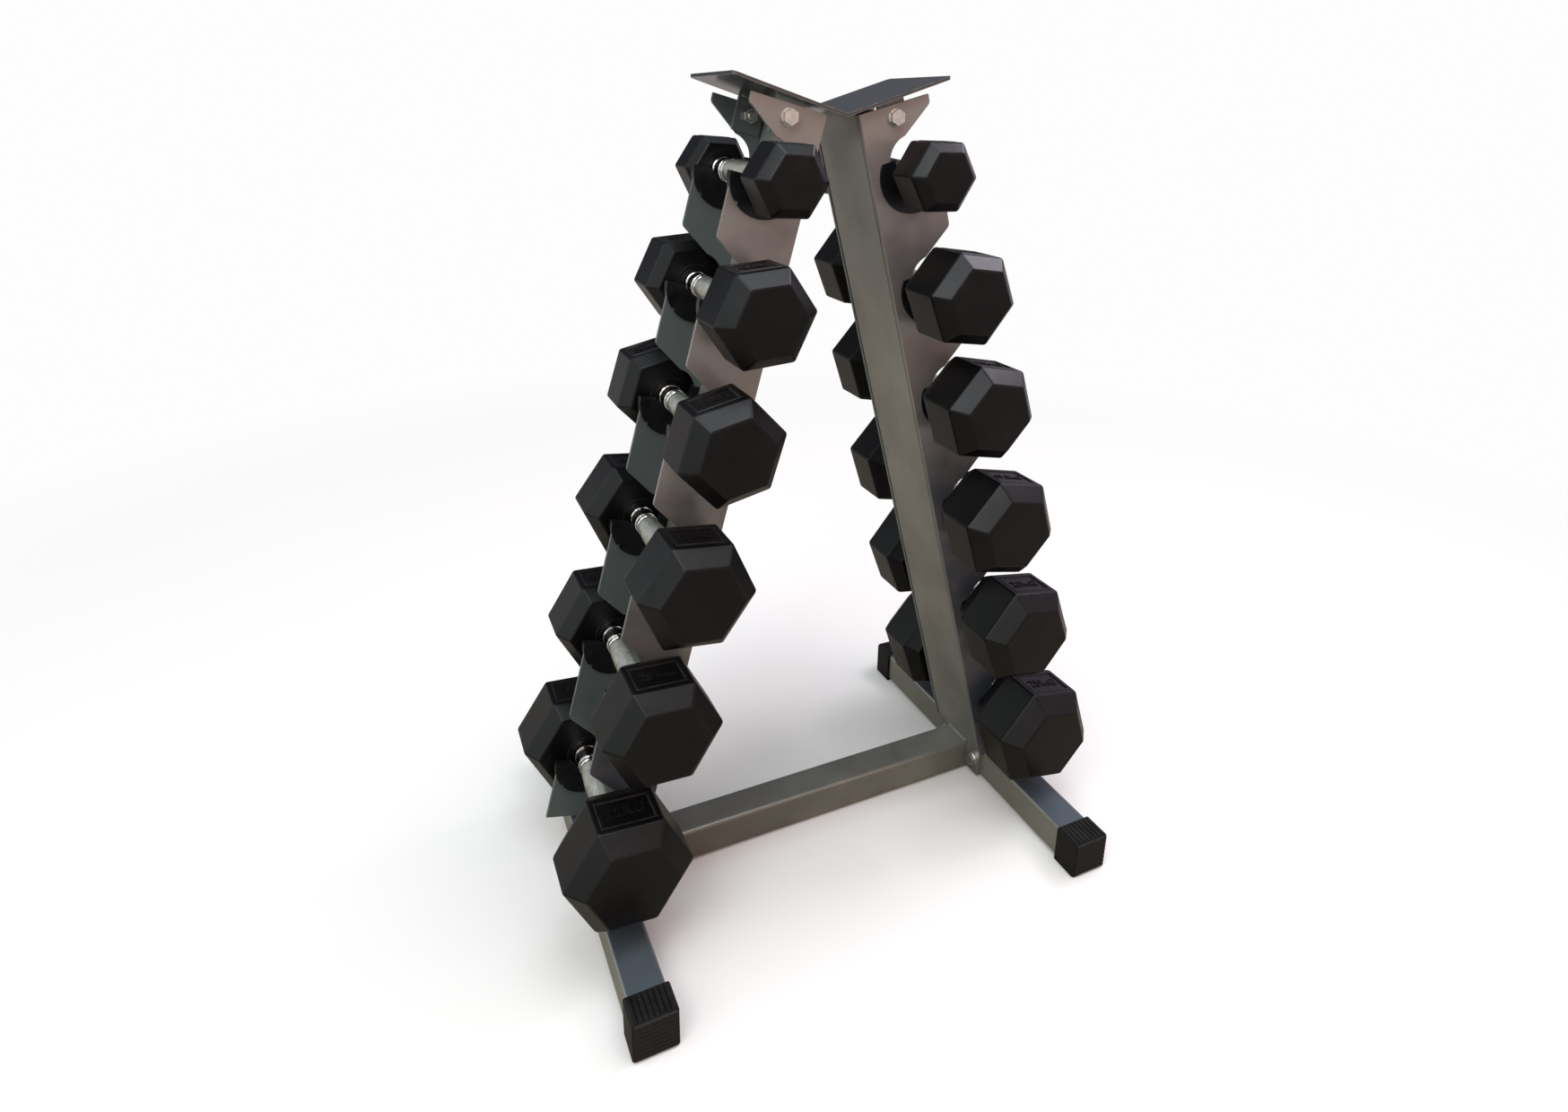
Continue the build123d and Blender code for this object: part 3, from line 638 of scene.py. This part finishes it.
def end_cap(node, face):
    """A moulded cap: a rounded sleeve with ribs running back along the top and across the closed end."""
    low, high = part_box(node)
    bm = bmesh.new()
    open_y, end_y = (low.y, high.y) if face > 0 else (high.y, low.y)
    floor_z = high.z - CAP_GROOVE
    floor_y = end_y - face * CAP_GROOVE
    rows = []
    stations = [(open_y + face * along * MM, shrink * MM) for along, shrink in SLEEVE]
    stations += [(floor_y - face * along * MM, shrink * MM) for along, shrink in CLOSED_END]
    for y, shrink in stations:
        edge = Vector((shrink, 0.0, shrink))
        outline = cap_outline(low + edge, Vector((high.x, high.y, floor_z)) - edge, CAP_ROUND)
        rows.append([bm.verts.new((x, y, z)) for x, z in outline])
    for first, second in zip(rows, rows[1:]):
        bridge(bm, first, second)
    bm.faces.new(rows[-1])
    bm.faces.new(rows[0])
    start_y, finish_y = open_y + face * TOP_RIBS_FROM[0], floor_y - face * TOP_RIBS_TO[0]
    for along in ("top", "end"):
        rows = []
        for i in range(CAP_RIBS * RIB_SAMPLES + 1):
            share = i / RIB_SAMPLES
            rise = ridge(share) * CAP_GROOVE + RIB_BED
            if along == "top":
                x = low.x + TOP_RIBS_IN + (high.x - low.x - 2 * TOP_RIBS_IN) * share / CAP_RIBS
                z = min(high.z, floor_z + rise)
                under = floor_z - RIB_ROOT
                ends = [(x, start_y, under), (x, start_y + face * TOP_RIBS_FROM[1], z),
                        (x, finish_y - face * TOP_RIBS_TO[1], z), (x, finish_y, under)]
            else:
                rows_high = floor_z - low.z - END_RIBS_UP - END_RIBS_DOWN
                z = low.z + END_RIBS_UP + rows_high * share / CAP_RIBS
                y = floor_y + face * min(rise, CAP_GROOVE)
                under = floor_y - face * RIB_ROOT
                foot, crown = END_RIBS_IN[0], sum(END_RIBS_IN)
                ends = [(low.x + foot, under, z), (low.x + crown, y, z),
                        (high.x - crown, y, z), (high.x - foot, under, z)]
            rows.append([bm.verts.new(point) for point in ends])
        for first, second in zip(rows, rows[1:]):
            bridge(bm, first, second)
        bm.faces.new(rows[0])
        bm.faces.new(rows[-1])
    piece(node + "_ribbed", bm, MATERIALS["cap_plastic"], "rack", (node,), CAP_SHARP)


for side in ("left", "right"):
    for face_name, face in (("front", -1), ("back", 1)):
        end_cap(f"end_cap_{side}_{face_name}", face)


# Weld beads -----------------------------------------------------------------------------------------
BEAD_STEP = 1.1 * MM
BEAD_SIDES = 8
BEAD_END = 0.35                            # a bead's ends shrink to this share
RIPPLE_EVERY = 3                           # stations per ripple
RIPPLE = 0.16                              # how much narrower a bead gets along a ripple
LEAN = math.radians(15.0)
TOP_X, TOP_Z = 0.0214, 1.0435              # top end of the post's inner face
POST_FRAME = 25.0 * MM                     # depth of the post, square to its lean
SEAM_U = 25.5 * MM                         # the corner where the hook plates meet the post's outer face
SEAM_IN = 0.3 * MM
TOP_SEAM = (-0.140, -0.180)                # runs down the post, from its top end
SEAM_GAPS = (-0.30, -0.46, -0.64, -0.83)   # middles of the short runs between the tiers
SHORT_RUN = 20.0 * MM                      # half a short run
PLATE_REACH = 4.6 * MM                     # hook plate's thickness, out from the post
FOOT_RUN_IN = 7.5 * MM                     # bead on the foot starts this far out from the flange
WING_FOLD_Z = 1.0415                       # underside of the bent plate at its fold, and at its tips
WING_TIP_Z = 1.0860
LUG_RUN = (0.0490, 0.0800)                 # bead between lug and wing, out from the middle
TUBE_CORNER = 4.0 * MM
TUBE_BEAD = 2.2 * MM                       # radius of the bead round the tube's end,
TUBE_BEAD_IN = 0.6 * MM                    # and how far its middle sits in from the flange
FOOT_BEAD = 2.6 * MM
FOOT_BEAD_OUT = 0.5 * MM                   # its middle is this far out from the post's face
SIDE_BEAD = 2.2 * MM
SEAM_BEAD = 1.8 * MM
LUG_BEAD_IN = 4.0 * MM                     # in from the post's side
LUG_BEAD_DOWN = 0.4 * MM                   # below the wing's underside
WELD_SHARP = 50.0                          # degrees


def bead(bm, path, radius):
    """A rippled weld bead laid along straight runs between points, in metres."""
    stations = []
    for start, end in zip(path, path[1:]):
        start, end = Vector(start), Vector(end)
        count = max(2, round((end - start).length / BEAD_STEP))
        stations += [start.lerp(end, i / count) for i in range(count)]
    stations.append(Vector(path[-1]))
    rows = []
    last = len(stations) - 1
    for i, here in enumerate(stations):
        ahead = (stations[min(i + 1, last)] - stations[max(i - 1, 0)]).normalized()
        one = ahead.orthogonal().normalized()
        two = ahead.cross(one)
        taper = BEAD_END if i in (0, last) else 1.0
        size = radius * taper * (1.0 - RIPPLE * (i % RIPPLE_EVERY) / RIPPLE_EVERY)
        turn = [2 * math.pi * k / BEAD_SIDES for k in range(BEAD_SIDES)]
        rows.append([bm.verts.new(here + size * (math.cos(a) * one + math.sin(a) * two)) for a in turn])
    for first, second in zip(rows, rows[1:]):
        bridge(bm, first, second)
    bm.faces.new(rows[0])
    bm.faces.new(rows[-1])


def on_frame(side, u, y, v):
    """A point given along a side frame's slanted axes, in metres."""
    x = TOP_X + u * math.cos(LEAN) - v * math.sin(LEAN)
    return side * x, y, TOP_Z + u * math.sin(LEAN) + v * math.cos(LEAN)


def tube_welds(bm, side, flange_x):
    """The bead round one end of the cross tube, against its flange."""
    tube_low, tube_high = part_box("cross_tube")
    half, top, bottom = tube_high.y, tube_high.z, tube_low.z
    inset = half - TUBE_CORNER
    square = [(inset, top), (half, top - TUBE_CORNER), (half, bottom + TUBE_CORNER), (inset, bottom),
              (-inset, bottom), (-half, bottom + TUBE_CORNER), (-half, top - TUBE_CORNER), (-inset, top),
              (inset, top)]
    bead(bm, [(side * (flange_x - TUBE_BEAD_IN), y, z) for y, z in square], TUBE_BEAD)


def post_welds(bm, side, side_name, flange_x):
    """Beads at the post's foot, down both hook plates, and under the bent plate."""
    foot_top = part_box("foot_" + side_name)[1].z
    post_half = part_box("post_" + side_name)[1].y
    tube_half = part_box("cross_tube")[1].y
    base_inner = TOP_X + (TOP_Z - foot_top) * math.tan(LEAN)
    base_outer = base_inner + POST_FRAME / math.cos(LEAN)
    for x, half in ((base_inner - FOOT_BEAD_OUT, tube_half), (base_outer + FOOT_BEAD_OUT, post_half)):
        bead(bm, [(side * x, y, foot_top) for y in (-half, half)], FOOT_BEAD)
    seam_y = post_half - SEAM_IN
    wing_slope = (WING_TIP_Z - WING_FOLD_Z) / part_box("top_plate")[1].x
    for face in (-1, 1):
        bead(bm, [(side * x, face * (post_half + PLATE_REACH), foot_top)
                  for x in (flange_x + FOOT_RUN_IN, base_outer)], SIDE_BEAD)
        bead(bm, [on_frame(side, SEAM_U, face * seam_y, v) for v in TOP_SEAM], SEAM_BEAD)
        for middle in SEAM_GAPS:
            bead(bm, [on_frame(side, SEAM_U, face * seam_y, middle + shift)
                      for shift in (SHORT_RUN, -SHORT_RUN)], SEAM_BEAD)
        bead(bm, [(side * x, face * (post_half - LUG_BEAD_IN), WING_FOLD_Z + wing_slope * x - LUG_BEAD_DOWN)
                  for x in LUG_RUN], SEAM_BEAD)


for side_name, side in (("left", -1), ("right", 1)):
    bm = bmesh.new()
    flange_low, flange_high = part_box("flange_" + side_name)
    flange_x = min(abs(flange_low.x), abs(flange_high.x))
    tube_welds(bm, side, flange_x)
    post_welds(bm, side, side_name, flange_x)
    piece("welds_" + side_name, bm, WELD, "rack", (), WELD_SHARP)


# Floor, light and world -----------------------------------------------------------------------------
FLOOR_NEAR = (0.34, 0.30, 0.24)            # what the floor sends up at the model: a duller, warmer floor
FLOOR_FAR = (0.50, 0.46, 0.43)
BACKDROP = (0.985, 0.985, 0.985)
NEAR_TO_FAR = (0.8, 4.0)                   # metres from the middle, over which one turns into the other
FLOOR_SEEN = ((0.862, 0.826, 0.794), (0.872, 0.836, 0.804))    # what the camera sees of it
FLOOR_TO_BACKDROP = (0.9, 2.6)             # metres over which that fades into the backdrop
FLOOR_SIZE = 60.0
floor_material = Recipe("studio_floor")
floor_cloud = floor_material.noise(1.5, 3.0)
pale = floor_material.ramp(floor_cloud, [(0.3, FLOOR_SEEN[0]), (0.7, FLOOR_SEEN[1])])
far = floor_material.node("ShaderNodeVectorMath", operation="LENGTH")
floor_material.link(floor_material.coords.outputs["Object"], far.inputs[0])
spread = floor_material.remap(far.outputs["Value"], 0.0, 1.0, *NEAR_TO_FAR)
bounce = floor_material.mix(spread, FLOOR_NEAR, FLOOR_FAR)
seen = floor_material.node("ShaderNodeLightPath").outputs["Is Camera Ray"]
floor_material.set(Base_Color=floor_material.mix(seen, bounce, pale), Roughness=0.9,
                   Specular_IOR_Level=0.1)
# Far from the rack the floor fades into the backdrop, so no horizon shows
plain = floor_material.node("ShaderNodeEmission")
plain.inputs["Color"].default_value = (*BACKDROP, 1.0)
distance = floor_material.remap(far.outputs["Value"], 0.0, 1.0, *FLOOR_TO_BACKDROP)
fade = floor_material.math("MULTIPLY", seen, distance)
faded = floor_material.node("ShaderNodeMixShader")
floor_material.link(fade, faded.inputs[0])
floor_material.link(floor_material.shader.outputs[0], faded.inputs[1])
floor_material.link(plain.outputs[0], faded.inputs[2])
floor_material.link(faded.outputs[0], floor_material.tree.nodes["Material Output"].inputs["Surface"])
bpy.ops.mesh.primitive_plane_add(size=FLOOR_SIZE, location=(0, 0, 0))
floor = bpy.context.object
floor.name = "studio_floor"
floor.data.materials.append(floor_material.material)


WALL_FRONT = (0.86, 0.62, 0.54)
WALL_BACK = (0.085, 0.090, 0.110)
WALL_RIGHT = (0.70, 0.62, 0.78)
WALL_LEFT = (1.30, 1.42, 1.45)
CEILING = (1.35, 1.55, 1.66)
FRONT_TO_BACK = (-0.25, 0.45)              # a direction's part along an axis, from where one wall starts to
FRONT_TO_RIGHT = (0.45, 0.95)              # turn into the next to where it has
FRONT_TO_LEFT = (-0.35, -0.85)
WALLS_TO_CEILING = (0.70, 1.00)


def studio_world():
    """A bright plain surround for the camera, and uneven walls for what the model reflects."""
    world = bpy.data.worlds.new("studio")
    world.use_nodes = True
    tree = world.node_tree
    tree.nodes.clear()

    def node(kind, **settings):
        made = tree.nodes.new(kind)
        for key, value in settings.items():
            setattr(made, key, value)
        return made

    def between(source, low, high):
        """0 where a direction's part is low, 1 where it is high, and smooth between."""
        made = node("ShaderNodeMapRange", interpolation_type="SMOOTHSTEP")
        made.inputs["From Min"].default_value = low
        made.inputs["From Max"].default_value = high
        tree.links.new(source, made.inputs["Value"])
        return made.outputs["Result"]

    def mixed(factor, a, b):
        made = node("ShaderNodeMix", data_type="RGBA")
        tree.links.new(factor, made.inputs["Factor"])
        for socket, value in ((made.inputs["A"], a), (made.inputs["B"], b)):
            if isinstance(value, tuple):
                socket.default_value = (*value, 1.0)
            else:
                tree.links.new(value, socket)
        return made.outputs["Result"]

    split = node("ShaderNodeSeparateXYZ")
    tree.links.new(node("ShaderNodeTexCoord").outputs["Generated"], split.inputs["Vector"])
    x, y, z = split.outputs["X"], split.outputs["Y"], split.outputs["Z"]
    walls = mixed(between(y, *FRONT_TO_BACK), WALL_FRONT, WALL_BACK)
    walls = mixed(between(x, *FRONT_TO_RIGHT), walls, WALL_RIGHT)
    walls = mixed(between(x, *FRONT_TO_LEFT), walls, WALL_LEFT)
    lit = mixed(between(z, *WALLS_TO_CEILING), walls, CEILING)
    surround = node("ShaderNodeBackground")
    tree.links.new(lit, surround.inputs["Color"])
    plain = node("ShaderNodeBackground")
    plain.inputs["Color"].default_value = (*BACKDROP, 1.0)
    chosen = node("ShaderNodeMixShader")
    tree.links.new(node("ShaderNodeLightPath").outputs["Is Camera Ray"], chosen.inputs[0])
    tree.links.new(surround.outputs[0], chosen.inputs[1])
    tree.links.new(plain.outputs[0], chosen.inputs[2])
    tree.links.new(chosen.outputs[0], node("ShaderNodeOutputWorld").inputs["Surface"])
    bpy.context.scene.world = world


studio_world()


def area(name, at, towards, size, energy, colour):
    """A rectangular soft light, in metres and watts."""
    data = bpy.data.lights.new(name, "AREA")
    data.shape = "RECTANGLE"
    data.size, data.size_y = size
    data.energy = energy
    data.color = colour
    lamp = bpy.data.objects.new(name, data)
    bpy.context.scene.collection.objects.link(lamp)
    lamp.location = at
    lamp.rotation_euler = (Vector(towards) - Vector(at)).to_track_quat("-Z", "Y").to_euler()


area("overhead", (0.1, -0.7, 3.0), (0, 0, 0.5), (1.8, 1.3), 27.0, (0.88, 0.95, 1.0))
area("window_left", (-1.6, -1.45, 2.6), (0, 0, 0.8), (1.2, 1.2), 25.0, (0.86, 0.96, 1.0))
area("window_right", (1.75, -0.05, 2.35), (0.2, 0, 0.8), (0.8, 0.8), 18.0, (0.95, 0.89, 1.0))
bpy.context.scene.view_settings.view_transform = "Standard"
